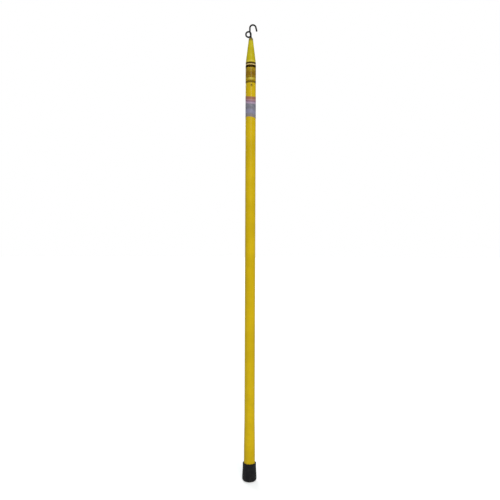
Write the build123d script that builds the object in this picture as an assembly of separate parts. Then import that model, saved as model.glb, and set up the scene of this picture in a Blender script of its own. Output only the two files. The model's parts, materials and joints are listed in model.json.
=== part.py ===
from build123d import *
import os
from math import cos, radians, sin

# Telescopic hot stick, collapsed. All sizes are in millimetres.
# The pole stands along +Z on the middle of its boot, and its front faces -Y.

# Telescoping tubes, number 1 being the base tube, whose radii step down evenly
SECTIONS = 7
BASE_OD = 38.0
TIP_OD = 14.0
TUBE_WALL = 1.3
BASE_TOP_Z = 1534.5

# Thicker wound butt of the base tube
BUTT_SWELL = 1.45
BUTT_TOP_Z = 105.0
BUTT_TAPER_TOP_Z = 245.0

# Rubber boot
BOOT_FLOOR = 8.0
BOOT_WALL = 4.25
BOOT_RIM_Z = 67.0
BOOT_NECK_Z = 52.0
BOOT_FLARE = 1.9
BOOT_BELLY_Z = 18.0
BOOT_CORNER_R = 10.0
BOOT_RIM_CHAMFER = 1.2

# Plugs that close the tubes' lower ends
BASE_PLUG_LENGTH = 32.0
PLUG_FLANGE = 4.0
SPIGOT_LENGTH = 26.0
PLUG_GAP = 0.2
PLUG_CHAMFER = 0.6
GLUE_GAP = 0.1

# Cross pin through each plug and its tube
PIN_R = 1.25
PIN_SUNK = 0.3
PIN_RISE = 27.0
PIN_GAP = 0.05

# Lock buttons, their springs and the holes that they lock in
LOCK_LINE_ANGLE = 9.0
LOCK_HOLE_DROP = 76.5
BUTTON_RISE = 18.0
BUTTON_MAX_D = 7.0
BUTTON_SHARE = 0.32
BUTTON_CHAMFER = 1.0
BUTTON_PROUD = 0.8
BUTTON_TIP_GAP = 0.3
HOLE_GAP = 0.3
SHOULDER_STEP = 0.6
SHOULDER_THICK = 1.2
SHOULDER_GAP = 0.25
PILOT_LENGTH = 1.5
PILOT_GAP = 0.25
SPRING_LENGTH = 6.0
SPRING_WIRE = 0.55
SPRING_TURNS = 3
SPRING_INSET = 0.4
SPRING_END_GAP = 0.05

# Guide groove in each outer bore
GROOVE_DEPTH = 0.5
GROOVE_SIDE_GAP = 0.4

# Mouth bushings
BUSHING_FLANGE = 3.0
BUSHING_SLEEVE = 10.0
BUSHING_WALL = 1.05
RUNNING_GAP = 0.15
BUSHING_CHAMFER = 0.4

# Cone cap that covers the mouths, its seal and the tip insert
SEAL_THICK = 5.5
SEAL_WALL = 1.3
SEAL_GAP = 0.4
CONE_LENGTH = 93.0
CONE_TIP_STEP = 0.5
CONE_WALL = 1.8
CONE_CAP = 12.0
CONE_HOLE_GAP = 0.2
CONE_CHAMFER = 1.6
MOUTH_CLEARANCE = 0.5
CAVITY_END_GAP = 2.0
INSERT_COLLAR = 4.0
INSERT_LENGTH = 24.0

# Wire hook with its eye, and the nut that locks it
WIRE_D = 6.0
WIRE_END_CHAMFER = 1.5
THREAD_GAP = 0.05
SHANK_DEPTH = 32.0
NUT_AF = 10.0
NUT_THICK = 3.2
NUT_CHAMFER = 0.5
EYE_R = 9.2
EYE_RISE = 12.5
EYE_CORNERS = 8
WRAP_GAP = 0.6
STEM_OFFSET = 3.8
STEM_FOOT = 13.0
STEM_BEND_R = 20.0
CROSS_BEND_R = 6.4
ARCH_R = 11.2
ARCH_RISE = 25.7
ARCH_BENDS = 4
LEG_SLANT = 13.0
LEG_LENGTH = 20.8

FLOOR_UP = (Align.CENTER, Align.CENTER, Align.MIN)
TUBE_NUMBERS = range(2, SECTIONS)
SECTION_NUMBERS = range(2, SECTIONS + 1)


# Places and sizes that follow from the driving dimensions


def tube_radius(k):
    """Outer radius of tube k. What a step is wider than the wall is the sliding gap."""
    step = (BASE_OD - TIP_OD) / 2 / (SECTIONS - 1)
    return BASE_OD / 2 - (k - 1) * step


def bore_radius(k):
    """Inner radius of tube k."""
    return tube_radius(k) - TUBE_WALL


def bushing_bore(k):
    """Inner radius of tube k's mouth bushing, in which tube k + 1 slides."""
    return tube_radius(k + 1) + RUNNING_GAP


def sleeve_radius(k):
    return bushing_bore(k) + BUSHING_WALL


def groove_radius(k):
    """Radius of the guide groove's floor in tube k."""
    return bore_radius(k) + GROOVE_DEPTH


def cone_base_z():
    """Height of the cone's lower rim when the stick is closed."""
    return BASE_TOP_Z + BUSHING_FLANGE + SEAL_THICK


def cone_tip_z():
    return cone_base_z() + CONE_LENGTH


def butt_radius():
    return BASE_OD / 2 + BUTT_SWELL


def cone_tip_radius():
    return TIP_OD / 2 + CONE_TIP_STEP


def cone_slope():
    """Radius that the cone loses for each millimetre of height."""
    return (BASE_OD / 2 - cone_tip_radius()) / CONE_LENGTH


def cone_bore(z):
    """Inner radius of the cone's tapered cavity at a height."""
    return BASE_OD / 2 - CONE_WALL - cone_slope() * (z - cone_base_z())


def section_bottom(k):
    """Each section stands on the plug of the section around it."""
    base_plug_top = BOOT_FLOOR + BASE_PLUG_LENGTH
    return base_plug_top + (k - 2) * (PLUG_FLANGE + SPIGOT_LENGTH)


def tube_bottom(k):
    if k == 1:
        return BOOT_FLOOR
    return section_bottom(k) + PLUG_FLANGE


def mouth_top(k):
    """Each mouth reaches up to where the cone's cavity just clears it."""
    if k == 1:
        return BASE_TOP_Z + BUSHING_FLANGE
    room = cone_bore(cone_base_z()) - tube_radius(k) - MOUTH_CLEARANCE
    return cone_base_z() + room / cone_slope()


def tube_top(k):
    if k == SECTIONS:
        return cone_tip_z() - CONE_CAP - INSERT_COLLAR
    return mouth_top(k) - BUSHING_FLANGE


def lock_hole_z(k):
    """Height of the hole near the top of tube k in which section k + 1 locks."""
    return tube_top(k) - LOCK_HOLE_DROP


def button_z(k):
    return section_bottom(k) + BUTTON_RISE


def button_diameter(k):
    return min(BUTTON_MAX_D, BUTTON_SHARE * 2 * tube_radius(k))


def button_tip_radius(k):
    """Closed, the button's nose rides in the groove of the tube around it."""
    return groove_radius(k - 1) - BUTTON_TIP_GAP


def button_pop_out(k):
    """How far the button moves out when it drops into its lock hole."""
    return tube_radius(k - 1) + BUTTON_PROUD - button_tip_radius(k)


def shoulder_outer(k):
    """The shoulder stops on the tube's bore once the button has popped out."""
    return bore_radius(k) - GLUE_GAP - button_pop_out(k)


def shoulder_radius(k):
    return button_diameter(k) / 2 + SHOULDER_STEP


def spring_seat(k):
    """Distance from the pole's axis to the face that the spring pushes on."""
    return shoulder_outer(k) - SHOULDER_THICK


def spring_radius(k):
    return button_diameter(k) / 2 - SPRING_INSET


def travel(k):
    """How far section k slides out before its button meets the lock hole."""
    return lock_hole_z(k - 1) - button_z(k)


# Small helpers


def ring(outer, inner, bottom, top):
    """A plain tube about the pole's axis."""
    return Pos(0, 0, bottom) * extrude(Circle(outer) - Circle(inner), top - bottom)


def disc(radius, bottom, top):
    return Pos(0, 0, bottom) * Cylinder(radius, top - bottom, align=FLOOR_UP)


def turned(points):
    """A solid of revolution from its outline, given as radius and height."""
    outline = Polyline(*[(r, 0, z) for r, z in points], close=True)
    return revolve(make_face(outline), Axis.Z)


def top_outer_edge(piece):
    """The larger of the circles at the top of a turned piece."""
    return piece.edges().filter_by(GeomType.CIRCLE).group_by(Axis.Z)[-1].sort_by(SortBy.RADIUS)[-1]


def radial(piece, z):
    """Turns a piece made along +Z so that it points out along the lock line."""
    return Pos(0, 0, z) * Rot(0, 0, LOCK_LINE_ANGLE) * Rot(90, 0, 0) * piece


def radial_hole(radius, start, end, z):
    """A round hole that points out along the lock line."""
    drill = Pos(0, 0, start) * Cylinder(radius, end - start, align=FLOOR_UP)
    return radial(drill, z)


def keyway(radius, width, bottom, top):
    """A bar along the lock line, with a round outer face about the pole's axis."""
    strip = Circle(radius) & Pos(0, -radius / 2) * Rectangle(width, radius)
    return Rot(0, 0, LOCK_LINE_ANGLE) * Pos(0, 0, bottom) * extrude(strip, top - bottom)


def cross_rod(radius, half_length, z):
    """A rod across the pole, square to the lock line."""
    return Pos(0, 0, z) * Rot(0, 0, LOCK_LINE_ANGLE) * Rot(0, 90, 0) * Cylinder(radius, 2 * half_length)


def pin_z(k):
    if k == 1:
        return BOOT_FLOOR + BASE_PLUG_LENGTH / 2
    return section_bottom(k) + PIN_RISE


def wall_radius_at_pin(k):
    return butt_radius() if k == 1 else tube_radius(k)


def pin_hole(k):
    return cross_rod(PIN_R + PIN_GAP, wall_radius_at_pin(k) + 1, pin_z(k))


# Tubes


def mouth_cuts(k):
    """Counterbore for the mouth bushing, guide groove and lock hole of tube k."""
    seat = disc(sleeve_radius(k) + GLUE_GAP, tube_top(k) - BUSHING_SLEEVE, tube_top(k) + 1)
    width = button_diameter(k + 1) + 2 * GROOVE_SIDE_GAP
    groove = keyway(groove_radius(k), width, tube_bottom(k) - 1, lock_hole_z(k))
    hole = radial_hole(button_diameter(k + 1) / 2 + HOLE_GAP, 0, BASE_OD, lock_hole_z(k))
    return [seat, groove, hole]


def base_tube():
    """Large tube with a gentle swell down to its thicker butt."""
    top_r = BASE_OD / 2
    butt_r = butt_radius()
    bore_r = bore_radius(1)
    swell = Spline(
        (butt_r, 0, BUTT_TOP_Z),
        (top_r, 0, BUTT_TAPER_TOP_Z),
        tangents=[(0, 0, 1), (0, 0, 1)],
    )
    rest = Polyline(
        (top_r, 0, BUTT_TAPER_TOP_Z),
        (top_r, 0, BASE_TOP_Z),
        (bore_r, 0, BASE_TOP_Z),
        (bore_r, 0, BOOT_FLOOR),
        (butt_r, 0, BOOT_FLOOR),
        (butt_r, 0, BUTT_TOP_Z),
    )
    tube = revolve(make_face(swell + rest), Axis.Z)
    return tube - mouth_cuts(1) - pin_hole(1)


def section_tube(k):
    tube = ring(tube_radius(k), bore_radius(k), tube_bottom(k), tube_top(k))
    tube -= pin_hole(k)
    tube -= radial_hole(button_diameter(k) / 2 + HOLE_GAP, 0, BASE_OD, button_z(k))
    if k < SECTIONS:
        tube -= mouth_cuts(k)
    return tube


# Closures of the tubes' ends


def base_plug():
    plug = disc(bore_radius(1) - GLUE_GAP, BOOT_FLOOR, BOOT_FLOOR + BASE_PLUG_LENGTH)
    plug = chamfer(plug.edges().sort_by(Axis.Z)[-1], PLUG_CHAMFER)
    return plug - pin_hole(1)


def section_plug(k):
    """Flange that runs in the tube outside, key, and spigot with the button's bore."""
    bottom = section_bottom(k)
    shoulder = bottom + PLUG_FLANGE
    flange = disc(bore_radius(k - 1) - PLUG_GAP, bottom, shoulder)
    flange = chamfer(flange.edges().sort_by(Axis.Z)[0], PLUG_CHAMFER)
    key_r = groove_radius(k - 1) - PLUG_GAP
    key = keyway(key_r, button_diameter(k), bottom + PLUG_CHAMFER, shoulder)
    spigot = disc(bore_radius(k) - GLUE_GAP, shoulder, shoulder + SPIGOT_LENGTH)
    spigot = chamfer(spigot.edges().sort_by(Axis.Z)[-1], PLUG_CHAMFER)
    bore_end = spring_seat(k) - SPRING_LENGTH
    bore = radial_hole(shoulder_radius(k) + SHOULDER_GAP, bore_end, BASE_OD, button_z(k))
    return flange + key + spigot - bore - pin_hole(k)


def plug_pin(k):
    """Pin that ends just below the tube's surface, so it can't drag."""
    return cross_rod(PIN_R, wall_radius_at_pin(k) - PIN_SUNK, pin_z(k))


def mouth_bushing(k):
    """Nylon ring on the rim of tube k, with a sleeve down inside it."""
    rim = tube_top(k)
    inner = bushing_bore(k)
    sleeve = sleeve_radius(k)
    top = rim + BUSHING_FLANGE
    return turned(
        [
            (inner, rim - BUSHING_SLEEVE),
            (sleeve, rim - BUSHING_SLEEVE),
            (sleeve, rim),
            (tube_radius(k), rim),
            (tube_radius(k), top),
            (inner + BUSHING_CHAMFER, top),
            (inner, top - BUSHING_CHAMFER),
        ]
    )


# Lock button and spring


def lock_button(k):
    """Button with the shoulder that keeps it in and a pilot for its spring."""
    seat = spring_seat(k)
    pilot_r = spring_radius(k) - SPRING_WIRE / 2 - PILOT_GAP
    stem = disc(button_diameter(k) / 2, shoulder_outer(k), button_tip_radius(k))
    stem = chamfer(stem.edges().sort_by(Axis.Z)[-1], BUTTON_CHAMFER)
    shoulder = disc(shoulder_radius(k), seat, shoulder_outer(k))
    pilot = disc(pilot_r, seat - PILOT_LENGTH, seat)
    return radial(pilot + shoulder + stem, button_z(k))


def button_spring(k):
    """Coil of flat-sided wire between the plug's bore and the button's shoulder."""
    length = SPRING_LENGTH - SPRING_WIRE - 2 * SPRING_END_GAP
    path = Helix(pitch=length / SPRING_TURNS, height=length, radius=spring_radius(k))
    start = Plane(origin=path @ 0, x_dir=(1, 0, 0), z_dir=path % 0)
    coil = sweep(start * Rectangle(SPRING_WIRE, SPRING_WIRE), path, is_frenet=True)
    lift = spring_seat(k) - SPRING_LENGTH + SPRING_END_GAP + SPRING_WIRE / 2
    return radial(Pos(0, 0, lift) * coil, button_z(k))


# Boot


def boot():
    """Rubber cup with a slight bell and a broad rounded foot."""
    inner = butt_radius() + GLUE_GAP
    rim_r = inner + BOOT_WALL
    belly_r = rim_r + BOOT_FLARE
    body = turned(
        [
            (0, 0),
            (belly_r, 0),
            (belly_r, BOOT_BELLY_Z),
            (rim_r, BOOT_NECK_Z),
            (rim_r, BOOT_RIM_Z),
            (inner, BOOT_RIM_Z),
            (inner, BOOT_FLOOR),
            (0, BOOT_FLOOR),
        ]
    )
    rounds = body.edges().filter_by(GeomType.CIRCLE)
    body = fillet(rounds.group_by(Axis.Z)[0], BOOT_CORNER_R)
    return chamfer(top_outer_edge(body), BOOT_RIM_CHAMFER)


# Tip: seal, cone, insert, nut and hook


def cone_seal():
    inner = tube_radius(2) + SEAL_GAP
    seal_top = cone_base_z()
    return ring(inner + SEAL_WALL, inner, seal_top - SEAL_THICK, seal_top)


def cone():
    """Hollow cap: tapered cavity over the mouths, socket for the tip tube, hole for the hook."""
    base = cone_base_z()
    tip = cone_tip_z()
    socket_r = tube_radius(SECTIONS) + GLUE_GAP
    socket_top = tip - CONE_CAP
    cavity_top = mouth_top(SECTIONS - 1) + CAVITY_END_GAP
    hole_r = WIRE_D / 2 + CONE_HOLE_GAP
    body = turned(
        [
            (BASE_OD / 2, base),
            (cone_tip_radius(), tip),
            (hole_r, tip),
            (hole_r, socket_top),
            (socket_r, socket_top),
            (socket_r, cavity_top),
            (cone_bore(cavity_top), cavity_top),
            (cone_bore(base), base),
        ]
    )
    return chamfer(top_outer_edge(body), CONE_CHAMFER)


def tip_insert():
    """Brass insert in the tip tube, which the hook's shank screws into."""
    rim = tube_top(SECTIONS)
    collar = disc(tube_radius(SECTIONS), rim, rim + INSERT_COLLAR)
    spigot = disc(bore_radius(SECTIONS) - GLUE_GAP, rim - INSERT_LENGTH, rim)
    thread = disc(WIRE_D / 2 + THREAD_GAP, rim - INSERT_LENGTH, rim + INSERT_COLLAR)
    return collar + spigot - thread


def lock_nut():
    """Thin hexagon nut, with two of its flats square to X."""
    hexagon = RegularPolygon(NUT_AF / 2, 6, major_radius=False, rotation=30)
    nut = Pos(0, 0, cone_tip_z()) * extrude(hexagon - Circle(WIRE_D / 2 + THREAD_GAP), NUT_THICK)
    outer_top = nut.edges().group_by(Axis.Z)[-1].filter_by(GeomType.LINE)
    return chamfer(outer_top, NUT_CHAMFER)


def eye_corner(index, z):
    """Corner of the outline whose rounded corners form the eye's full turn."""
    half_turn = 180 / EYE_CORNERS
    angle = radians(half_turn + index * 360 / EYE_CORNERS)
    reach = EYE_R / cos(radians(half_turn))
    depth = (WIRE_D + WRAP_GAP) * max(0, index - 1) / (EYE_CORNERS - 2)
    return (reach * cos(angle) - EYE_R, depth, z + reach * sin(angle))


def arch_corner(index, x, z, depth):
    """Corner of the outline whose rounded corners form the arch."""
    step = (180 - LEG_SLANT) / ARCH_BENDS
    angle = radians(180 - step * (index + 0.5))
    reach = ARCH_R / cos(radians(step / 2))
    return (x + reach * cos(angle), depth, z + reach * sin(angle))


def hook_path():
    """Shank, one full turn for the eye, stem, arch and slanted leg."""
    nut_top = cone_tip_z() + NUT_THICK
    eye_z = nut_top + EYE_RISE
    depth = WIRE_D + WRAP_GAP
    arch_x = ARCH_R - STEM_OFFSET
    arch_z = eye_z + ARCH_RISE
    eye = [eye_corner(i, eye_z) for i in range(EYE_CORNERS)]
    arch = [arch_corner(i, arch_x, arch_z, depth) for i in range(ARCH_BENDS)]
    foot = (-STEM_OFFSET, depth, eye_z + STEM_FOOT)
    slant = radians(LEG_SLANT)
    last = arch[-1]
    leg_end = (last[0] + LEG_LENGTH * sin(slant), depth, last[2] - LEG_LENGTH * cos(slant))
    shank_end = (0, 0, cone_tip_z() - SHANK_DEPTH)
    eye_bend = 0.98 * EYE_R
    radii = [eye_bend] * (EYE_CORNERS - 1) + [CROSS_BEND_R, STEM_BEND_R]
    radii += [0.98 * ARCH_R] * ARCH_BENDS
    return FilletPolyline(shank_end, *eye, foot, *arch, leg_end, radius=radii)


def hook():
    """One bent wire with a blunted point."""
    path = hook_path()
    start = Plane(origin=path @ 0, z_dir=path % 0)
    wire = sweep(start * Circle(WIRE_D / 2), path)
    point = wire.faces().filter_by(GeomType.PLANE).sort_by(Axis.Z)[-1]
    return chamfer(point.edges(), WIRE_END_CHAMFER)


def save(name, piece):
    export_step(piece, os.path.join("parts", name + ".step"))


def main():
    os.makedirs("parts", exist_ok=True)
    save("base_tube", base_tube())
    save("base_plug", base_plug())
    save("base_plug_pin", plug_pin(1))
    save("mouth_bushing_1", mouth_bushing(1))
    save("boot", boot())
    for k in TUBE_NUMBERS:
        save(f"tube_{k}", section_tube(k))
        save(f"mouth_bushing_{k}", mouth_bushing(k))
    for k in SECTION_NUMBERS:
        save(f"plug_{k}", section_plug(k))
        save(f"plug_pin_{k}", plug_pin(k))
        save(f"lock_button_{k}", lock_button(k))
        save(f"button_spring_{k}", button_spring(k))
        print(f"section {k} slides out {travel(k):.2f}")
    save("tip_tube", section_tube(SECTIONS))
    save("tip_insert", tip_insert())
    save("cone_seal", cone_seal())
    save("cone", cone())
    save("lock_nut", lock_nut())
    save("hook", hook())


main()
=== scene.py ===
import json
from math import ceil, cos, pi, radians, sin, sqrt, tan

import bmesh
import bpy
from mathutils import Matrix, Vector

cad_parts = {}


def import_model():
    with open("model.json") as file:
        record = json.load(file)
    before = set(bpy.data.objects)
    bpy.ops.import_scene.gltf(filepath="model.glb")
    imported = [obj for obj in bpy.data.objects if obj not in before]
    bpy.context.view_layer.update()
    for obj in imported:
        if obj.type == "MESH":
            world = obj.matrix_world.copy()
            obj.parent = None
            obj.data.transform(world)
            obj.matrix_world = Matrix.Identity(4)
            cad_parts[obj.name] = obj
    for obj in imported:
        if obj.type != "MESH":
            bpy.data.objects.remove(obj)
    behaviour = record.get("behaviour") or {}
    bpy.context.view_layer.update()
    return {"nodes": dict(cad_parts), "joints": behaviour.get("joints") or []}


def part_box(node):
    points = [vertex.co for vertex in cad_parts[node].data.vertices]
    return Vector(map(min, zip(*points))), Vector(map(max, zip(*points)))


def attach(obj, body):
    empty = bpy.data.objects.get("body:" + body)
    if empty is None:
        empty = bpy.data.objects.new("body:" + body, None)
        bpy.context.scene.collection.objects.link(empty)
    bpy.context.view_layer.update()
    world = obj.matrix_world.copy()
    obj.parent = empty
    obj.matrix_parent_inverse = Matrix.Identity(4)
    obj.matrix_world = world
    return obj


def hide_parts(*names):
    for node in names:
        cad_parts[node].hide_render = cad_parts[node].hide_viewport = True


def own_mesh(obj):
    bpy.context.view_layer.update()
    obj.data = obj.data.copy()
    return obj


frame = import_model()

# Telescopic hot stick, collapsed. All sizes are in metres.
# The pole stands along +Z on the middle of its boot, and its front faces -Y.
MM = 0.001
ON_AXIS = 0.001 * MM
SPECK = 0.005 * MM
CLEAR = 0.05 * MM
CREASE = radians(35)
ROUND = 96

# Tubes, their mouths and the holes that the lock buttons use
LAST = 7
WALL = 1.3 * MM
EDGE = 0.25 * MM
GLUE_GAP = 0.1 * MM
RUNNING_GAP = 0.15 * MM
BUSHING_WALL = 1.05 * MM
SLEEVE = 10 * MM
FLANGE = 3 * MM
LOCK_HOLE_DROP = 76.5 * MM
GROOVE_DEPTH = 0.5 * MM
GROOVE_SIDE_GAP = 0.4 * MM
SHOULDER_STEP = 0.6 * MM
SHOULDER_THICK = 1.2 * MM
HOLE_GAP = 0.3 * MM
PIN_GAP = 0.05 * MM
CUTTER_LENGTH = 40 * MM
CUT_PAST = 2 * MM
BUTT_SWELL = 1.45 * MM
BUTT_TOP = 105 * MM
SWELL_TOP = 245 * MM

# Lock buttons and springs
PILOT_STEP = 0.925 * MM
DOME_RISE = 0.25 * MM
NOSE_ROUNDING = 0.9 * MM
SPRING_WIRE_R = 0.26 * MM
COIL_STEP = 0.4 * MM
COIL_TURNS = 4.5
CLOSED_ENDS = 0.1

# Boot and seal
BOOT_WALL = 4.25 * MM
BOOT_NECK = 52 * MM
BOOT_BELLY = 18 * MM
BOOT_CORNER = 10 * MM
BOOT_BEND = 14 * MM
BOX_GAP = 0.02 * MM
BEAD = 3 * MM
BEAD_GROOVE = 2 * MM
BEAD_DEPTH = 0.5 * MM
BEAD_SLOPE = 0.6 * MM
SEAL_GAP = 0.4 * MM

# Cone, nut and hook
CONE_TIP_R = 7.5 * MM
CONE_WALL = 1.8 * MM
CONE_CAP = 12 * MM
CAVITY_END_GAP = 2 * MM
WAVER = 0.05 * MM
WAVERS = 9
WIRE_R = 3 * MM
WIRE_GAP = 0.2 * MM
THREAD_GAP = 0.05 * MM
THREAD_PITCH = 1 * MM
PITCH_STEPS = 6
THREAD_DEPTH = 0.45 * MM
THREAD_RUNOUT = 3 * MM
NUT_FLATS = 10 * MM
NUT_BEVEL = 0.4 * MM
EYE_R = 9.2 * MM
EYE_RISE = 12.5 * MM
EYE_CORNERS = 8
WRAP_DEPTH = 6.6 * MM
STEM_OFFSET = 3.8 * MM
STEM_FOOT = 13 * MM
STEM_BEND = 20 * MM
CROSS_BEND = 6.4 * MM
ARCH_R = 11.2 * MM
ARCH_RISE = 25.7 * MM
ARCH_BENDS = 4
LEG_SLANT = 13
LEG_LENGTH = 20.8 * MM
POINT_LENGTH = 2.2 * MM
POINT_BLUNTNESS = 0.3
BEND_SHARE = 0.98
PATH_STEP = 0.8 * MM

# Tapes and labels on the base tube
SKIN = 0.15 * MM
DARK_BAND = (1524.2 * MM, 1534.2 * MM)
PRINT = (1477.5 * MM, 1522.8 * MM)
LOW_BAND = (1467.9 * MM, 1476.4 * MM)
BAND_START = -176
BAND_END = 190
LAP_START = 358
LABEL_HALF_TURN = 142
# Each edge: its height at the front, its rise towards the back and its drop towards the right
LABEL_HEAD = (1416.4 * MM, 4 * MM, 1.2 * MM)
LABEL_FOOT = (1343 * MM, -3.4 * MM, 2.3 * MM)

# Light and camera
AMBIENT = (0.35, 0.39, 0.4)
FLOOR_GLOW = 0.4
FLOOR_R = 60
LENS = 40.3
CAMERA = (-0.5 * MM, -2072 * MM, 853 * MM)
CAMERA_ROLL = -0.2

# The lock line runs out from the pole's axis through every button and lock hole
joints = {joint["name"]: joint for joint in frame["joints"]}
UP = Vector((0, 0, 1))
OUTWARD = -Vector(joints["button_2_press"]["axis"])
SIDEWAYS = UP.cross(OUTWARD)


# Places read from the frame


def low(node):
    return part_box(node)[0].z


def high(node):
    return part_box(node)[1].z


def middle(node):
    return (low(node) + high(node)) / 2


def radius(node):
    """Outer radius of a turned node."""
    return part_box(node)[1].x


def reach(node):
    """How near and how far a node lies from the pole's axis along the lock line."""
    distances = [v.co.dot(OUTWARD) for v in frame["nodes"][node].data.vertices]
    return min(distances), max(distances)


def tube_node(k):
    return {1: "base_tube", LAST: "tip_tube"}.get(k, f"tube_{k}")


def body(k):
    return {1: "base", LAST: "tip_section"}.get(k, f"section_{k}")


def tube_radius(k):
    return radius("mouth_bushing_1") if k == 1 else radius(tube_node(k))


def button_radius(k):
    """The button's shoulder is its tallest part."""
    return (high(f"lock_button_{k}") - low(f"lock_button_{k}")) / 2 - SHOULDER_STEP


# Mesh makers


def solid(name, mesh):
    """Turns a bmesh into an object with smooth faces and crisp edges."""
    bmesh.ops.recalc_face_normals(mesh, faces=mesh.faces)
    data = bpy.data.meshes.new(name)
    mesh.to_mesh(data)
    mesh.free()
    data.shade_smooth()
    data.set_sharp_from_angle(angle=CREASE)
    piece = bpy.data.objects.new(name, data)
    bpy.context.scene.collection.objects.link(piece)
    return piece


def lathe(name, outline, segments=ROUND):
    """A solid turned about the pole's axis from its outline of radius and height."""
    mesh = bmesh.new()
    rings = []
    for r, z in outline:
        count = 1 if r < ON_AXIS else segments
        turns = [2 * pi * i / segments for i in range(count)]
        rings.append([mesh.verts.new((r * cos(a), r * sin(a), z)) for a in turns])
    for lower, upper in zip(rings, rings[1:] + rings[:1]):
        for i in range(segments):
            sides = [(lower, i), (lower, i + 1), (upper, i + 1), (upper, i)]
            corners = list(dict.fromkeys(ring[j % len(ring)] for ring, j in sides))
            if len(corners) > 2:
                mesh.faces.new(corners)
    return solid(name, mesh)


def arc(before, corner, after, r, steps):
    """Points of the arc of radius r that rounds a corner. steps gives their number from its turn."""
    back = (before - corner).normalized()
    ahead = (after - corner).normalized()
    half = back.angle(ahead) / 2
    centre = corner + (back + ahead).normalized() * (r / sin(half))
    start = corner + back * (r / tan(half)) - centre
    end = corner + ahead * (r / tan(half)) - centre
    turn = pi - 2 * half
    count = steps(turn)
    parts = [turn * i / count for i in range(count + 1)]
    return [centre + (start * sin(turn - part) + end * sin(part)) / sin(turn) for part in parts]


def rounded(corners, steps=5):
    """Outline whose corners, each a radius, a height and a rounding, become arcs."""
    points = []
    places = [Vector(corner[:2]) for corner in corners]
    for i, (r, z, rounding) in enumerate(corners):
        if rounding == 0:
            points.append((r, z))
            continue
        after = places[(i + 1) % len(places)]
        points += [tuple(p) for p in arc(places[i - 1], places[i], after, rounding, lambda turn: steps)]
    return points


def rod(name, start, end, r, segments=48):
    """A plain cylinder between two points."""
    line = end - start
    piece = lathe(name, [(0, 0), (r, 0), (r, line.length), (0, line.length)], segments)
    turn = line.to_track_quat("Z", "Y").to_matrix().to_4x4()
    piece.data.transform(Matrix.Translation(start) @ turn)
    return piece


def prism(name, outline, bottom, top):
    """An upright solid over a flat outline."""
    mesh = bmesh.new()
    lower = [mesh.verts.new((p.x, p.y, bottom)) for p in outline]
    upper = [mesh.verts.new((p.x, p.y, top)) for p in outline]
    mesh.faces.new(lower)
    mesh.faces.new(upper)
    for i in range(len(outline)):
        j = (i + 1) % len(outline)
        mesh.faces.new([lower[i], lower[j], upper[j], upper[i]])
    return solid(name, mesh)


def combine(piece, others, operation="DIFFERENCE"):
    """Cuts the others out of the piece, or keeps only what they share with it, and cleans the cuts."""
    for other in others:
        cut = piece.modifiers.new("cut", "BOOLEAN")
        cut.operation = operation
        cut.solver = "EXACT"
        cut.object = other
    bpy.context.view_layer.update()
    shape = piece.evaluated_get(bpy.context.evaluated_depsgraph_get())
    piece.data = bpy.data.meshes.new_from_object(shape)
    piece.modifiers.clear()
    piece.data.name = piece.name
    mesh = bmesh.new()
    mesh.from_mesh(piece.data)
    bmesh.ops.remove_doubles(mesh, verts=mesh.verts, dist=SPECK)
    bmesh.ops.dissolve_degenerate(mesh, edges=mesh.edges, dist=SPECK)
    mesh.to_mesh(piece.data)
    mesh.free()
    for other in others:
        bpy.data.objects.remove(other)
    piece.data.set_sharp_from_angle(angle=CREASE)


def along_lock_line(piece, z):
    """Turns a piece made along +Z so that it points out along the lock line."""
    turn = Matrix((SIDEWAYS, UP, OUTWARD)).transposed().to_4x4()
    piece.data.transform(Matrix.Translation((0, 0, z)) @ turn)


def sweep(name, path, section, sides=32):
    """A closed wire along a path. section gives its radius from distance and angle."""
    mesh = bmesh.new()
    rings = []
    along = 0
    tangent = (path[1] - path[0]).normalized()
    normal = tangent.orthogonal().normalized()
    for i, point in enumerate(path):
        ahead = (path[min(i + 1, len(path) - 1)] - path[max(i - 1, 0)]).normalized()
        normal = tangent.rotation_difference(ahead) @ normal
        tangent = ahead
        side = tangent.cross(normal)
        along += (point - path[max(i - 1, 0)]).length
        ring = []
        for j in range(sides):
            a = 2 * pi * j / sides
            r = section(along, a)
            ring.append(mesh.verts.new(point + (normal * cos(a) + side * sin(a)) * r))
        rings.append(ring)
    for lower, upper in zip(rings, rings[1:]):
        for j in range(sides):
            k = (j + 1) % sides
            mesh.faces.new([lower[j], lower[k], upper[k], upper[j]])
    mesh.faces.new(rings[0])
    mesh.faces.new(rings[-1])
    return solid(name, mesh)


def bent_path(corners, radii, step):
    """Points along straight runs joined by arcs, no further apart than the step."""
    points = [corners[0]]
    for before, corner, after, r in zip(corners, corners[1:], corners[2:], radii):
        points += arc(before, corner, after, r, lambda turn: ceil(turn * r / step))
    points.append(corners[-1])
    # Points much closer than a step would fold the wire's faces
    spaced = [points[0]]
    for point in points[1:]:
        if (point - spaced[-1]).length > step / 3:
            spaced.append(point)
    return divided(spaced, step)


def divided(points, step):
    """The same line with its long runs cut into steps."""
    line = [points[0]]
    for start, end in zip(points, points[1:]):
        count = max(1, ceil((end - start).length / step))
        line += [start.lerp(end, (i + 1) / count) for i in range(count)]
    return line


# Tubes


def outer_line(k, bottom, top):
    """Outer face of tube k from its foot up. The base tube swells down to its butt."""
    r = tube_radius(k)
    if k > 1:
        return [(r, bottom, EDGE), (r, top, EDGE)]
    steps = 16
    line = [(r + BUTT_SWELL, bottom, EDGE)]
    for i in range(steps + 1):
        t = i / steps
        z = BUTT_TOP + t * (SWELL_TOP - BUTT_TOP)
        line.append((r + BUTT_SWELL * (1 - t * t * (3 - 2 * t)), z, 0))
    return line + [(r, top, EDGE)]


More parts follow.
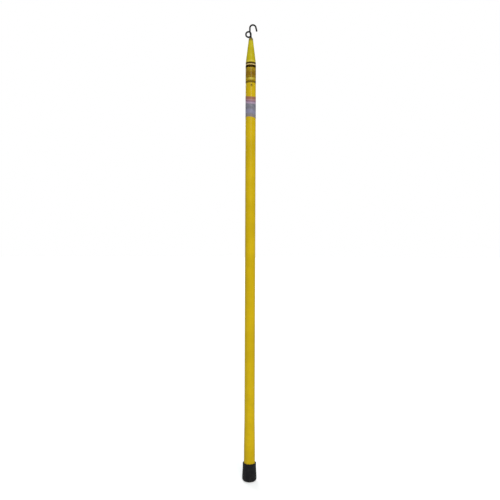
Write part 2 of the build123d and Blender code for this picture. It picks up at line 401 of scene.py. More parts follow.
def groove_bar(k):
    """Bar that cuts the guide groove in the bore of tube k."""
    r = tube_radius(k) - WALL + GROOVE_DEPTH
    half = button_radius(k + 1) + GROOVE_SIDE_GAP
    steps = 8
    outline = []
    for i in range(steps + 1):
        side = half * (2 * i / steps - 1)
        outline.append(SIDEWAYS * side + OUTWARD * sqrt(r * r - side * side))
    outline += [SIDEWAYS * half, SIDEWAYS * -half]
    node = tube_node(k)
    return prism("groove", outline, low(node) - CUT_PAST, high(node) - LOCK_HOLE_DROP)


def lock_line_hole(name, z, r):
    """Bar that cuts a round hole from the bore out along the lock line."""
    centre = UP * z
    return rod(name, centre, centre + OUTWARD * CUTTER_LENGTH, r)


def tube(k):
    """Tube k with its mouth's counterbore, guide groove and holes."""
    node = tube_node(k)
    bottom, top = low(node), high(node)
    bore = tube_radius(k) - WALL
    corners = outer_line(k, bottom, top)
    if k < LAST:
        seat = tube_radius(k + 1) + RUNNING_GAP + BUSHING_WALL + GLUE_GAP
        corners += [(seat, top, 0), (seat, top - SLEEVE, 0), (bore, top - SLEEVE, 0)]
    else:
        corners += [(bore, top, EDGE)]
    corners += [(bore, bottom, EDGE)]
    piece = lathe(node + "_finish", rounded(corners, steps=3))
    cutters = []
    if k < LAST:
        cutters.append(groove_bar(k))
        cutters.append(lock_line_hole("lock_hole", top - LOCK_HOLE_DROP, button_radius(k + 1) + HOLE_GAP))
    if k > 1:
        cutters.append(lock_line_hole("button_hole", middle(f"lock_button_{k}"), button_radius(k) + HOLE_GAP))
    pin = "base_plug_pin" if k == 1 else f"plug_pin_{k}"
    pin_r = (high(pin) - low(pin)) / 2 + PIN_GAP
    centre = UP * middle(pin)
    half_length = SIDEWAYS * CUTTER_LENGTH
    cutters.append(rod("pin_hole", centre - half_length, centre + half_length, pin_r, segments=24))
    combine(piece, cutters)
    place(piece, body(k), "tube_yellow", node)


def bushing(k):
    """Nylon ring on the rim of tube k, with a sleeve down inside it."""
    node = f"mouth_bushing_{k}"
    bottom, top = low(node), high(node)
    inner = tube_radius(k + 1) + RUNNING_GAP
    sleeve = inner + BUSHING_WALL
    rim = top - FLANGE
    corners = [
        (inner, bottom, 0),
        (sleeve, bottom, 0),
        (sleeve, rim, 0),
        (tube_radius(k), rim, 0.3 * MM),
        (tube_radius(k), top, 0.5 * MM),
        (inner, top, 0.5 * MM),
    ]
    piece = lathe(node + "_finish", rounded(corners))
    place(piece, body(k), "ivory_nylon", node)


# Lock buttons and springs


def button(k):
    """Button with a domed nose, a shoulder that keeps it in and a pilot for its spring."""
    node = f"lock_button_{k}"
    inner, tip = reach(node)
    r = button_radius(k)
    shoulder_r = r + SHOULDER_STEP
    seat = reach(f"button_spring_{k}")[1]
    pilot_r = r - PILOT_STEP
    corners = [
        (0, inner, 0),
        (pilot_r, inner, 0.3 * MM),
        (pilot_r, seat, 0),
        (shoulder_r, seat, 0.15 * MM),
        (shoulder_r, seat + SHOULDER_THICK, 0.15 * MM),
        (r, seat + SHOULDER_THICK, 0),
        (r, tip - DOME_RISE, NOSE_ROUNDING),
        (0, tip, 0),
    ]
    piece = lathe(node + "_finish", rounded(corners), segments=48)
    along_lock_line(piece, middle(node))
    place(piece, f"button_{k}", "black_acetal", node)


def spring(k):
    """Coil of round wire with closed ends."""
    node = f"button_spring_{k}"
    start, end = reach(node)
    coil_r = button_radius(k) - COIL_STEP
    steps = 180
    path = []
    for i in range(steps + 1):
        t = i / steps
        rise = t - sin(2 * pi * t) * CLOSED_ENDS
        a = 2 * pi * COIL_TURNS * t
        lift = start + SPRING_WIRE_R + (end - start - 2 * SPRING_WIRE_R) * rise
        path.append(Vector((coil_r * cos(a), coil_r * sin(a), lift)))
    piece = sweep(node + "_finish", path, lambda along, angle: SPRING_WIRE_R, sides=12)
    along_lock_line(piece, middle(node))
    place(piece, body(k), "spring_steel", node)
    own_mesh(piece)


# Boot, seal and cone


def boot():
    """Rubber cup with a slight bell, a beaded rim and a broad rounded foot."""
    rim = high("boot")
    inside_floor = low("base_tube")
    inner = tube_radius(1) + BUTT_SWELL + GLUE_GAP
    rim_r = inner + BOOT_WALL
    belly = radius("boot") - BOX_GAP
    groove_r = rim_r - BEAD_DEPTH
    groove_top = rim - BEAD
    groove_foot = groove_top - BEAD_GROOVE
    corners = [
        (0, 0, 0),
        (belly, 0, BOOT_CORNER),
        (belly, BOOT_BELLY, BOOT_BEND),
        (rim_r, BOOT_NECK, BOOT_BEND),
        (rim_r, groove_foot, 0),
        (groove_r, groove_foot + BEAD_SLOPE, 0.3 * MM),
        (groove_r, groove_top - BEAD_SLOPE, 0.3 * MM),
        (rim_r, groove_top, 0),
        (rim_r, rim, 1.4 * MM),
        (inner, rim, 0.8 * MM),
        (inner, inside_floor, 0),
        (0, inside_floor, 0),
    ]
    piece = lathe("boot_finish", rounded(corners, steps=10))
    place(piece, "base", "black_rubber", "boot")


def seal():
    """Soft ring with rounded edges between the cone and the base tube's mouth."""
    inner = tube_radius(2) + SEAL_GAP
    outer = radius("cone_seal")
    bottom, top = low("cone_seal"), high("cone_seal")
    corners = [
        (inner, bottom, 0.4 * MM),
        (outer, bottom, 0.5 * MM),
        (outer, top, 0.5 * MM),
        (inner, top, 0.4 * MM),
    ]
    piece = lathe("cone_seal_finish", rounded(corners))
    place(piece, "tip_section", "black_rubber", "cone_seal", finish="aged_rubber")


def cone():
    """Hollow cap with a tapered cavity, a socket for the tip tube and a hole for the hook."""
    base, tip = low("cone"), high("cone")
    foot_r = radius("cone")
    slope = (foot_r - CONE_TIP_R) / (tip - base)
    bore_foot = foot_r - CONE_WALL
    cavity_top = high(f"mouth_bushing_{LAST - 1}") + CAVITY_END_GAP
    socket_top = tip - CONE_CAP
    socket = radius("tip_tube") + GLUE_GAP
    hole = WIRE_R + WIRE_GAP
    corners = [(foot_r, base, 1.1 * MM)]
    steps = 24
    for i in range(1, steps):
        t = i / steps
        waver = WAVER * sin(WAVERS * pi * t) * sin(pi * t)
        corners.append((foot_r - (foot_r - CONE_TIP_R) * t - waver, base + (tip - base) * t, 0))
    corners += [
        (CONE_TIP_R, tip, 1.8 * MM),
        (hole, tip, 0.4 * MM),
        (hole, socket_top, 0),
        (socket, socket_top, 0),
        (socket, cavity_top, 0),
        (bore_foot - slope * (cavity_top - base), cavity_top, 0),
        (bore_foot, base, 0.4 * MM),
    ]
    piece = lathe("cone_finish", rounded(corners, steps=6), segments=128)
    place(piece, "tip_section", "cone_yellow", "cone")


# Nut and hook


def nut():
    """Thin hexagon nut with turned corners, two of its flats square to X."""
    bottom, top = low("lock_nut"), high("lock_nut")
    corner_r = NUT_FLATS / 2 / cos(radians(30))
    angles = [radians(30 + 60 * i) for i in range(6)]
    outline = [Vector((cos(a), sin(a), 0)) * corner_r for a in angles]
    piece = prism("lock_nut_finish", outline, bottom, top)
    hole = WIRE_R + THREAD_GAP
    barrel = [
        (hole + NUT_BEVEL, bottom),
        (corner_r - NUT_BEVEL, bottom),
        (corner_r + CLEAR, bottom + NUT_BEVEL),
        (corner_r + CLEAR, top - NUT_BEVEL),
        (corner_r - 2 * NUT_BEVEL, top),
        (hole + NUT_BEVEL, top),
        (hole, top - NUT_BEVEL),
        (hole, bottom + NUT_BEVEL),
    ]
    combine(piece, [lathe("barrel", barrel)], "INTERSECT")
    place(piece, "tip_section", "dark_steel", "lock_nut")


def eye_corner(index, z):
    """Corner of the outline whose rounded corners form the eye's full turn."""
    half_turn = pi / EYE_CORNERS
    angle = half_turn * (1 + 2 * index)
    out = EYE_R / cos(half_turn)
    depth = WRAP_DEPTH * max(0, index - 1) / (EYE_CORNERS - 2)
    return Vector((out * cos(angle) - EYE_R, depth, z + out * sin(angle)))


def arch_corner(index, x, z):
    """Corner of the outline whose rounded corners form the arch."""
    step = radians(180 - LEG_SLANT) / ARCH_BENDS
    angle = pi - step * (index + 0.5)
    out = ARCH_R / cos(step / 2)
    return Vector((x + out * cos(angle), WRAP_DEPTH, z + out * sin(angle)))


def hook_path():
    """Shank, one full turn for the eye, stem, arch and slanted leg."""
    eye_z = high("lock_nut") + EYE_RISE
    eye = [eye_corner(i, eye_z) for i in range(EYE_CORNERS)]
    arch = [arch_corner(i, ARCH_R - STEM_OFFSET, eye_z + ARCH_RISE) for i in range(ARCH_BENDS)]
    foot = Vector((-STEM_OFFSET, WRAP_DEPTH, eye_z + STEM_FOOT))
    slant = radians(LEG_SLANT)
    leg_end = arch[-1] + Vector((sin(slant), 0, -cos(slant))) * LEG_LENGTH
    shank_end = UP * low("hook")
    radii = [BEND_SHARE * EYE_R] * (EYE_CORNERS - 1) + [CROSS_BEND, STEM_BEND]
    radii += [BEND_SHARE * ARCH_R] * ARCH_BENDS
    path = bent_path([shank_end, *eye, foot, *arch, leg_end], radii, PATH_STEP)
    thread_top = high("lock_nut") + THREAD_RUNOUT
    thread = divided([shank_end, UP * thread_top], THREAD_PITCH / PITCH_STEPS)
    return thread + [p for p in path if p.z > thread_top + CLEAR or p.y > 0]


def hook():
    """One bent wire, threaded at its shank and blunted at its point."""
    path = hook_path()
    length = sum((b - a).length for a, b in zip(path, path[1:]))
    thread_end = high("lock_nut") + THREAD_RUNOUT - low("hook")

    def section(along, angle):
        if along < thread_end:
            wave = abs((along / THREAD_PITCH - angle / (2 * pi)) % 1 * 2 - 1)
            fade = min(1, (thread_end - along) / THREAD_RUNOUT * 2)
            return WIRE_R - THREAD_DEPTH * wave * fade
        left = length - along
        if left < POINT_LENGTH:
            return WIRE_R * max(POINT_BLUNTNESS, sqrt(1 - (1 - left / POINT_LENGTH) ** 2))
        return WIRE_R

    piece = sweep("hook_finish", path, section)
    place(piece, "tip_section", "black_steel", "hook")


# Tapes and labels, thin skins wrapped on the base tube


def wrap(name, foot, head, start, end):
    """A skin from the start angle to the end angle, in degrees from the front.
    foot and head give its lower and upper edge at an angle, and past a full turn it lies on itself."""
    mesh = bmesh.new()
    inner_r = tube_radius(1)
    steps = 120
    rows = 6
    sheets = []
    for raised in (0, SKIN):
        sheet = []
        for i in range(steps + 1):
            degrees = start + (end - start) * i / steps
            over = min(1, max(0, (degrees - start - LAP_START) / (360 - LAP_START)))
            r = inner_r + raised + over * SKIN
            a = radians(degrees)
            column = []
            for j in range(rows + 1):
                z = foot(a) + (head(a) - foot(a)) * j / rows
                column.append(mesh.verts.new((r * sin(a), -r * cos(a), z)))
            sheet.append(column)
        sheets.append(sheet)
    inside, outside = sheets
    for i in range(steps):
        for j in range(rows):
            for sheet in sheets:
                near, far = sheet[i], sheet[i + 1]
                mesh.faces.new([near[j], far[j], far[j + 1], near[j + 1]])
        for j in (0, rows):
            mesh.faces.new([inside[i][j], inside[i + 1][j], outside[i + 1][j], outside[i][j]])
    for i in (0, steps):
        for j in range(rows):
            mesh.faces.new([inside[i][j], outside[i][j], outside[i][j + 1], inside[i][j + 1]])
    return solid(name, mesh)


def band(name, span, material):
    """Tape once round the tube, with its loose end lying on it at the back."""
    piece = wrap(name, lambda a: span[0], lambda a: span[1], BAND_START, BAND_END)
    dress(piece, "base", material)


def label():
    """Label most of the way round, stuck on a little askew and pulled wider at its ends."""

    def edge(height, rise, drop):
        return lambda a: height + rise * (1 - cos(a)) - drop * sin(a)

    piece = wrap("label", edge(*LABEL_FOOT), edge(*LABEL_HEAD), -LABEL_HALF_TURN, LABEL_HALF_TURN)
    dress(piece, "base", "label_print")


# Finishes


class Finish:
    """One material's nodes, with short calls for what the finishes share."""

    def __init__(self, name, **constants):
        self.made = bpy.data.materials.new(name)
        self.made.use_nodes = True
        self.tree = self.made.node_tree
        self.shader = self.tree.nodes["Principled BSDF"]
        for socket, value in constants.items():
            self.shader.inputs[socket.replace("_", " ")].default_value = value
        self.point = self.node("TexCoord").outputs["Object"]
        self.x, self.y, self.z = self.node("SeparateXYZ", Vector=self.point).outputs

    def node(self, kind, settings=None, **inputs):
        node = self.tree.nodes.new("ShaderNode" + kind)
        for key, value in (settings or {}).items():
            setattr(node, key, value)
        for key, value in inputs.items():
            self.feed(node.inputs[key.replace("_", " ")], value)
        return node

    def feed(self, socket, value):
        if isinstance(value, bpy.types.NodeSocket):
            self.tree.links.new(value, socket)
        elif isinstance(value, tuple) and len(value) == 3 and len(socket.default_value) == 4:
            socket.default_value = (*value, 1)
        else:
            socket.default_value = value

    def math(self, operation, first, second=0.0):
        node = self.node("Math", {"operation": operation})
        for socket, value in zip(node.inputs, (first, second)):
            self.feed(socket, value)
        return node.outputs[0]

    def mix(self, share, first, second):
        node = self.node("Mix", {"data_type": "RGBA"})
        for index, value in ((0, share), (6, first), (7, second)):
            self.feed(node.inputs[index], value)
        return node.outputs[2]

    def noise(self, scale, detail=3.0, stretch=(1, 1, 1), rough=0.5, warp=0.0):
        spot = self.node("Mapping", Vector=self.point, Scale=stretch)
        settings = {"Scale": scale, "Detail": detail, "Roughness": rough, "Distortion": warp}
        return self.node("TexNoise", Vector=spot.outputs[0], **settings).outputs["Fac"]

    def spread(self, value, start, end, low_end=0.0, high_end=1.0):
        """Maps a value's range on to another, smoothly and within it."""
        settings = {"interpolation_type": "SMOOTHSTEP"}
        node = self.node("MapRange", settings, Value=value)
        for index, limit in enumerate((start, end, low_end, high_end)):
            node.inputs[index + 1].default_value = limit
        return node.outputs[0]

    def between(self, value, start, end, soft=0.1 * MM):
        """1 where the value lies between the two, with a soft edge."""
        rise = self.spread(value, start - soft, start + soft)
        fall = self.spread(value, end - soft, end + soft, 1, 0)
        return self.math("MULTIPLY", rise, fall)

    def angle(self):
        """Angle round the pole from the front, in radians."""
        return self.math("ARCTAN2", self.x, self.math("MULTIPLY", self.y, -1))

    def bump(self, height, distance, normal=None, strength=1.0):
        node = self.node("Bump", Height=height, Distance=distance, Strength=strength)
        if normal is not None:
            self.feed(node.inputs["Normal"], normal)
        return node.outputs[0]

    def finish(self, colour, rough, normal):
        for socket, value in (("Base Color", colour), ("Roughness", rough), ("Normal", normal)):
            self.feed(self.shader.inputs[socket], value)
        return self.made


def soil_and_hole_shade(f):
    """Hand marks of dirt low down on the base tube, and painted shade in a ring round the lock hole."""
    hands = f.math("MULTIPLY", f.spread(f.z, 200 * MM, 600 * MM, 1, 0), f.spread(f.noise(60, 5), 0.45, 0.75))
    hole = OUTWARD * tube_radius(1) + UP * (high("base_tube") - LOCK_HOLE_DROP)
    away = f.node("VectorMath", {"operation": "DISTANCE"}, Vector=f.point)
    away.inputs[1].default_value = hole
    # Painted shade: the tube is darkened in a ring round the lock hole.
    painted_hole_shade = f.spread(away.outputs["Value"], 3 * MM, 7.5 * MM, 1, 0)
    return f.math("MAXIMUM", f.math("MULTIPLY", hands, 0.12), f.math("MULTIPLY", painted_hole_shade, 0.4))


def glass_fibre(name, deep, pale, shade, soiled_and_shaded=False):
    """Wound glass fibre under a thin clear coat: broad tone, long fibres, wrap marks and scuffs."""
    f = Finish(name, Coat_Weight=0.2, Coat_Roughness=0.25, Specular_IOR_Level=0.0)
    cloud = f.noise(14, 4)
    fibres = f.noise(1, 5, stretch=(1100, 1100, 9), rough=0.6)
    colour = f.mix(f.spread(cloud, 0.3, 0.7), deep, pale)
    colour = f.mix(f.spread(fibres, 0.5, 0.8, 0, 0.3), colour, shade)
    turn = f.math("DIVIDE", f.angle(), 2 * pi)
    winding = 22 * MM
    climb = f.math("ADD", f.math("DIVIDE", f.z, winding), turn)
    ridge = f.math("PINGPONG", climb, 0.5)
    mark = f.spread(ridge, 0.0, 0.06, 1, 0)
    colour = f.mix(f.math("MULTIPLY", mark, 0.12), colour, shade)
    flecks = f.noise(2600, 2, stretch=(1, 1, 0.4))
    colour = f.mix(f.spread(flecks, 0.66, 0.74, 0, 0.25), colour, shade)
    scuffs = f.noise(1, 6, stretch=(260, 260, 60), rough=0.65, warp=0.4)
    scuff = f.spread(scuffs, 0.6, 0.72)
    colour = f.mix(f.math("MULTIPLY", scuff, 0.1), colour, (0.75, 0.66, 0.32))
    # Base tube only: hand dirt low down, and painted shade round the lock hole.
    if soiled_and_shaded:
        colour = f.mix(soil_and_hole_shade(f), colour, (0.12, 0.085, 0.01))
    rough = f.math("ADD", f.spread(cloud, 0.2, 0.8, 0.32, 0.42), f.math("MULTIPLY", scuff, 0.18))
    normal = f.bump(ridge, 0.06 * MM, strength=0.5)
    normal = f.bump(fibres, 0.012 * MM, normal)
    normal = f.bump(f.noise(700, 2), 0.01 * MM, normal)
    return f.finish(colour, rough, normal)


def cast_yellow():
    """Hand-laid cap: a greener yellow with faint rings, darker brown towards its tip, a painted highlight
    band near its foot and painted shade along the seam at its foot.
    """
    f = Finish("cone_yellow_finish", Coat_Weight=0.08, Coat_Roughness=0.2, Specular_IOR_Level=0.0)
    cloud = f.noise(40, 4)
    colour = f.mix(f.spread(cloud, 0.3, 0.7), (0.42, 0.34, 0.01), (0.5, 0.42, 0.014))
    streaks = f.noise(1, 4, stretch=(700, 700, 14), rough=0.6)
    colour = f.mix(f.spread(streaks, 0.5, 0.8, 0, 0.3), colour, (0.34, 0.28, 0.02))
    tip = high("cone")
    # Darker brown towards the tip.
    near_tip = f.spread(f.z, tip - 14 * MM, tip - 3 * MM)
    tip_darkening = f.math("MULTIPLY", near_tip, f.spread(f.noise(300, 4), 0.1, 0.4))
    colour = f.mix(f.math("MULTIPLY", tip_darkening, 0.9), colour, (0.14, 0.095, 0.03))
    foot = low("cone")
    # Painted highlight: a paler band a little above the foot.
    wear_and_painted_highlight = f.between(f.z, foot + 3 * MM, foot + 8 * MM, 2 * MM)
    colour = f.mix(f.math("MULTIPLY", wear_and_painted_highlight, 0.6), colour, (0.66, 0.5, 0.08))
    # Painted shade: a dark line just above the foot, along the seam with the seal.
    painted_seam_shade = f.math("MULTIPLY", f.spread(f.z, foot + 0.8 * MM, foot + 3 * MM, 1, 0), 0.85)
    colour = f.mix(painted_seam_shade, colour, (0.1, 0.06, 0.008))
    ring_pitch = 2.4 * MM
    rings = f.math("SINE", f.math("MULTIPLY", f.z, 2 * pi / ring_pitch))
    normal = f.bump(rings, 0.004 * MM)
    normal = f.bump(f.noise(500, 3), 0.015 * MM, normal)
    rough = f.spread(cloud, 0.2, 0.8, 0.3, 0.42)
    return f.finish(colour, rough, normal)


def rubber(name, black, dusty):
    """Moulded rubber: matt, finely grained, dusty in patches and scuffed at its foot."""
    f = Finish(name, Specular_IOR_Level=0.08)
    patches = f.spread(f.noise(90, 5, rough=0.6), 0.5, 0.75)
    colour = f.mix(f.math("MULTIPLY", patches, 0.25), black, dusty)
    foot = f.math("MULTIPLY", f.spread(f.z, 2 * MM, 9 * MM, 1, 0), f.spread(f.noise(400, 4), 0.4, 0.65))
    colour = f.mix(f.math("MULTIPLY", foot, 0.5), colour, (0.1, 0.095, 0.085))
    grain = f.noise(2400, 3)
    normal = f.bump(grain, 0.03 * MM, strength=0.6)
    normal = f.bump(f.noise(120, 3), 0.08 * MM, normal, 0.5)
    rough = f.spread(patches, 0, 1, 0.55, 0.8)
    return f.finish(colour, rough, normal)


def nylon(name, deep, pale, rough_low=0.38):
    """Turned nylon: waxy, with fine tool rings and a little soiling."""
    f = Finish(name, Specular_IOR_Level=0.2)
    cloud = f.noise(160, 4)
    colour = f.mix(f.spread(cloud, 0.3, 0.7), deep, pale)
    stain = f.spread(f.noise(500, 5, rough=0.65), 0.58, 0.75, 0, 0.35)
    colour = f.mix(stain, colour, (0.3, 0.22, 0.1))
    tool_pitch = 0.35 * MM
    rings = f.math("SINE", f.math("MULTIPLY", f.z, 2 * pi / tool_pitch))
    normal = f.bump(rings, 0.004 * MM)
    normal = f.bump(f.noise(900, 2), 0.01 * MM, normal)
    return f.finish(colour, f.spread(cloud, 0.2, 0.8, rough_low, rough_low + 0.15), normal)


def metal(name, deep, pale, rough, rust=0.0, metallic=1.0):
    """Worn metal with fine grain, tarnish and a little rust."""
    f = Finish(name, Metallic=metallic, Specular_IOR_Level=0.12)
    cloud = f.noise(420, 5, rough=0.6)
    colour = f.mix(f.spread(cloud, 0.35, 0.7), deep, pale)
    spots = f.spread(f.noise(900, 6, rough=0.7), 0.62, 0.74, 0, rust)
    colour = f.mix(spots, colour, (0.14, 0.05, 0.02))
    grain = f.noise(1800, 3)
    normal = f.bump(grain, 0.01 * MM)
    normal = f.bump(cloud, 0.05 * MM, normal, 0.5)
    return f.finish(colour, f.spread(grain, 0.2, 0.8, rough - 0.08, rough + 0.12), normal)


def tape(name, deep, pale):
    """Stretched vinyl tape: half gloss, wrinkled along the wrap."""
    f = Finish(name, Coat_Weight=0.04, Coat_Roughness=0.3, Specular_IOR_Level=0.0)
    crinkle = f.noise(700, 5, stretch=(1, 1, 4), rough=0.6)
    colour = f.mix(f.spread(crinkle, 0.3, 0.75), deep, pale)
    normal = f.bump(crinkle, 0.05 * MM, strength=0.6)
    return f.finish(colour, f.spread(crinkle, 0.3, 0.7, 0.35, 0.5), normal)


def printed_film():
    """Yellow film, pale at its foot, with rubbed bars of brown ink that are denser half way up."""
    f = Finish("film_print", Coat_Weight=0.15, Coat_Roughness=0.22, Specular_IOR_Level=0.0)
    around = f.math("MULTIPLY", f.angle(), tube_radius(1))
    foot, head = PRINT
    ink_low, ink_high = foot + 10 * MM, head - 5 * MM
    ground = f.mix(f.spread(f.noise(90, 4), 0.3, 0.7), (0.27, 0.175, 0.004), (0.36, 0.24, 0.01))
    pale_foot = f.between(f.z, foot + 3 * MM, foot + 9 * MM, 1.5 * MM)
    patch = f.math("MULTIPLY", pale_foot, f.between(around, -8 * MM, 11 * MM, 5 * MM))
    ground = f.mix(f.math("MULTIPLY", pale_foot, 0.4), ground, (0.46, 0.37, 0.04))
    ground = f.mix(patch, ground, (0.5, 0.4, 0.05))
    rows = 9
    pitch = (ink_high - ink_low) / rows
    counted = f.math("DIVIDE", f.math("SUBTRACT", f.z, ink_low), pitch)
    row = f.math("FLOOR", counted)
    bar = f.between(f.math("FRACT", counted), 0.2, 0.8, 0.04)
    row_shift = 3.7 * MM
    bars_per_metre = 160
    shifted = f.math("ADD", around, f.math("MULTIPLY", row, row_shift))
    column = f.math("MULTIPLY", shifted, bars_per_metre)
    spot = f.node("CombineXYZ", X=column, Y=f.math("MULTIPLY", row, 7.3))
    length = f.node("TexNoise", {"noise_dimensions": "2D"}, Vector=spot.outputs[0], Scale=1.0, Detail=0.0)
    ink = f.math("MULTIPLY", bar, f.spread(length.outputs["Fac"], 0.4, 0.46))
    ink = f.math("MULTIPLY", ink, f.between(f.z, ink_low, ink_high))
    # Ink rubbed thin in patches.
    wear_and_painted_highlight = f.spread(f.noise(500, 5, rough=0.65), 0.35, 0.7, 1, 0.45)
    colour = f.mix(f.math("MULTIPLY", ink, wear_and_painted_highlight), ground, (0.14, 0.06, 0.005))
    dense = f.between(f.z, foot + 18 * MM, foot + 31 * MM, 3 * MM)
    colour = f.mix(f.math("MULTIPLY", dense, 0.42), colour, (0.15, 0.05, 0.002))
    edge = f.between(f.z, head - 2.4 * MM, head - 1.2 * MM)
    colour = f.mix(edge, colour, (0.2, 0.11, 0.015))
    normal = f.bump(f.noise(700, 3), 0.02 * MM, strength=0.5)
    return f.finish(colour, 0.38, normal)


def label_print():
    """Blank form: red header, pink and lilac strips, and fine dark rules on a grey field."""
    f = Finish("label_form", Coat_Weight=0.15, Coat_Roughness=0.25, Specular_IOR_Level=0.0)

    def above(height, rise, drop):
        """Height above an edge of the label, whose line label() gives."""
        bow = f.math("MULTIPLY", f.math("SUBTRACT", 1.0, f.math("COSINE", f.angle())), rise)
        slant = f.math("MULTIPLY", f.math("SINE", f.angle()), drop)
        return f.math("SUBTRACT", f.math("ADD", f.z, slant), f.math("ADD", bow, height))

    below_head = f.math("MULTIPLY", above(*LABEL_HEAD), -1)
    above_foot = above(*LABEL_FOOT)
    cloud = f.noise(120, 4)
    colour = f.mix(f.spread(cloud, 0.3, 0.7), (0.165, 0.16, 0.19), (0.225, 0.215, 0.26))
    strips = [
        (0, 9.5, (0.29, 0.13, 0.09)),
        (9.5, 15, (0.36, 0.19, 0.2)),
        (15, 19.5, (0.25, 0.14, 0.2)),
        (19.5, 26, (0.36, 0.26, 0.36)),
    ]
    for start, end, tint in strips:
        colour = f.mix(f.between(below_head, start * MM, end * MM), colour, tint)
    rule_pitch = 3.4 * MM
    rule = f.math("FRACT", f.math("DIVIDE", below_head, rule_pitch))
    field = f.between(below_head, 27 * MM, 70 * MM)
    lines = f.math("MULTIPLY", f.between(rule, 0.0, 0.16, 0.04), field)
    colour = f.mix(f.math("MULTIPLY", lines, 0.6), colour, (0.09, 0.09, 0.13))
    pale = f.between(above_foot, 13 * MM, 27 * MM, 5 * MM)
    colour = f.mix(f.math("MULTIPLY", pale, 0.5), colour, (0.27, 0.26, 0.4))
    dull = f.spread(above_foot, 5 * MM, 14 * MM, 0.8, 0)
    colour = f.mix(dull, colour, (0.23, 0.19, 0.19))
    scratches = f.noise(1, 5, stretch=(900, 900, 120), rough=0.65)
    scratch = f.spread(scratches, 0.62, 0.72, 0, 0.3)
    colour = f.mix(scratch, colour, (0.5, 0.47, 0.5))
    normal = f.bump(f.noise(600, 3), 0.02 * MM, strength=0.5)
    return f.finish(colour, 0.4, normal)


def make_finishes():
    """The finishes by name: the record's slots first, with the seal's old rubber, then tapes and prints."""
    tube_yellows = (0.507, 0.342, 0.002), (0.588, 0.4, 0.004), (0.33, 0.235, 0.004)
    rod_greens = (0.5, 0.44, 0.24), (0.62, 0.57, 0.36), (0.36, 0.3, 0.15)
    hook_blacks = (0.006, 0.006, 0.0065), (0.014, 0.013, 0.0135)
    return {
        "tube_yellow": glass_fibre("tube_yellow_finish", *tube_yellows, soiled_and_shaded=True),
        "cone_yellow": cast_yellow(),
        "ivory_nylon": nylon("ivory_nylon_finish", (0.64, 0.46, 0.16), (0.8, 0.61, 0.27)),
        "natural_nylon": nylon("natural_nylon_finish", (0.72, 0.68, 0.58), (0.82, 0.79, 0.71)),
        "glass_fibre_rod": glass_fibre("glass_rod_finish", *rod_greens),
        "black_acetal": nylon("black_acetal_finish", (0.014, 0.014, 0.015), (0.022, 0.022, 0.024), 0.28),
        "black_rubber": rubber("black_rubber_finish", (0.007, 0.007, 0.0078), (0.07, 0.065, 0.06)),
        "aged_rubber": rubber("aged_rubber_finish", (0.05, 0.025, 0.001), (0.1, 0.06, 0.015)),
        "spring_steel": metal("spring_steel_finish", (0.48, 0.48, 0.49), (0.6, 0.6, 0.61), 0.3),
        "brass": metal("brass_finish", (0.6, 0.42, 0.16), (0.76, 0.57, 0.25), 0.35),
        "dark_steel": metal("dark_steel_finish", (0.03, 0.025, 0.02), (0.06, 0.05, 0.04), 0.45, rust=0.5),
        "black_steel": metal("black_steel_finish", *hook_blacks, 0.5, rust=0.3, metallic=0.0),
        "dark_tape": tape("dark_tape_finish", (0.022, 0.011, 0.0005), (0.045, 0.025, 0.001)),
        "brown_tape": tape("brown_tape_finish", (0.13, 0.08, 0.004), (0.2, 0.13, 0.012)),
        "film_print": printed_film(),
        "label_print": label_print(),
    }


def dress(piece, rides_on, finish):
    """Gives a piece its body and its material."""
    piece.data.materials.clear()
    piece.data.materials.append(finishes[finish])
    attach(piece, rides_on)


def place(piece, rides_on, slot, node, finish=None):
    """Dresses a piece that stands for a CAD node, in its slot's finish unless another is given."""
    dress(piece, rides_on, finish or slot)
    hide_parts(node)


def dress_nodes():
    """The CAD nodes that stay in view get the finish of their slot."""
    for node in frame["nodes"].values():
        for slot in node.material_slots:
            name = slot.material.name.split(".")[0]
            slot.material = finishes[name]


# Stage, light and camera


def floor():
    """Pale floor that the camera sees as white where no shadow falls."""
    mesh = bmesh.new()
    bmesh.ops.create_circle(mesh, cap_ends=True, segments=64, radius=FLOOR_R)
    piece = solid("floor", mesh)
    f = Finish("floor_finish", Specular_IOR_Level=0.1)
    colour = f.mix(f.noise(3, 2), (0.86, 0.86, 0.86), (0.88, 0.88, 0.88))
    f.feed(f.shader.inputs["Base Color"], colour)
    f.feed(f.shader.inputs["Roughness"], 0.9)
    f.feed(f.shader.inputs["Emission Color"], (1, 1, 1))
    rays = f.node("LightPath").outputs
    seen = f.math("MAXIMUM", rays["Is Camera Ray"], rays["Is Glossy Ray"])
    f.feed(f.shader.inputs["Emission Strength"], f.math("MULTIPLY", seen, FLOOR_GLOW))
    piece.data.materials.append(f.made)


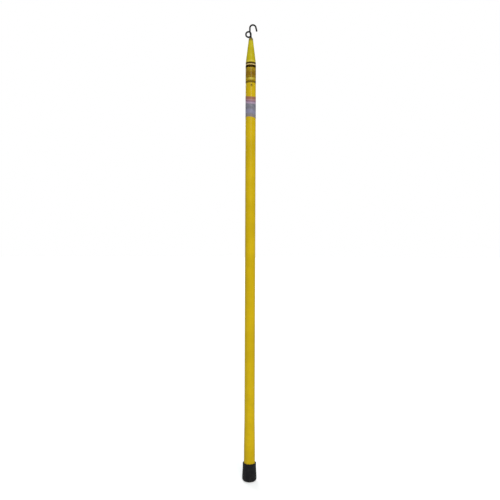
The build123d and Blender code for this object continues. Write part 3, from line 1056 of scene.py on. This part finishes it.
def world():
    """Even light from all round, which the camera, gloss and glass see as plain white."""
    scene_world = bpy.data.worlds.new("studio")
    bpy.context.scene.world = scene_world
    scene_world.use_nodes = True
    tree = scene_world.node_tree
    background = tree.nodes["Background"]
    rays = tree.nodes.new("ShaderNodeLightPath")
    seen = rays.outputs["Is Camera Ray"]
    for name in ("Is Glossy Ray", "Is Transmission Ray"):
        either = tree.nodes.new("ShaderNodeMath")
        either.operation = "MAXIMUM"
        tree.links.new(seen, either.inputs[0])
        tree.links.new(rays.outputs[name], either.inputs[1])
        seen = either.outputs[0]
    light = tree.nodes.new("ShaderNodeMix")
    light.data_type = "RGBA"
    tree.links.new(seen, light.inputs[0])
    light.inputs[6].default_value = (*AMBIENT, 1)
    light.inputs[7].default_value = (1, 1, 1, 1)
    tree.links.new(light.outputs[2], background.inputs["Color"])


def sun(name, strength, azimuth, elevation, spread, tint=(1, 1, 1)):
    """A broad soft light. Azimuth 0 comes from the front and 90 from the right."""
    lamp = bpy.data.lights.new(name, "SUN")
    lamp.energy = strength
    lamp.color = tint
    lamp.angle = radians(spread)
    light = bpy.data.objects.new(name, lamp)
    bpy.context.scene.collection.objects.link(light)
    a, e = radians(azimuth), radians(elevation)
    source = Vector((sin(a) * cos(e), -cos(a) * cos(e), sin(e)))
    light.rotation_euler = source.to_track_quat("Z", "Y").to_euler()


def camera():
    """Level camera in front of the pole, at the photograph's distance and height."""
    lens = bpy.data.cameras.new("camera")
    lens.lens = LENS
    lens.sensor_width = 36
    eye = bpy.data.objects.new("camera", lens)
    eye.location = CAMERA
    eye.rotation_euler = (radians(90), radians(CAMERA_ROLL), 0)
    bpy.context.scene.collection.objects.link(eye)
    bpy.context.scene.camera = eye


# The pole, piece by piece

finishes = make_finishes()
dress_nodes()
for k in range(1, LAST + 1):
    tube(k)
    if k < LAST:
        bushing(k)
    if k > 1:
        button(k)
        spring(k)
boot()
seal()
cone()
nut()
hook()
band("upper_band", DARK_BAND, "dark_tape")
band("print_film", PRINT, "film_print")
band("lower_band", LOW_BAND, "brown_tape")
label()

floor()
world()
sun("key", strength=2.0, azimuth=12, elevation=26, spread=30, tint=(1, 0.97, 0.93))
sun("back_fill", strength=1.2, azimuth=200, elevation=30, spread=40)
camera()
bpy.context.scene.view_settings.view_transform = "Standard"
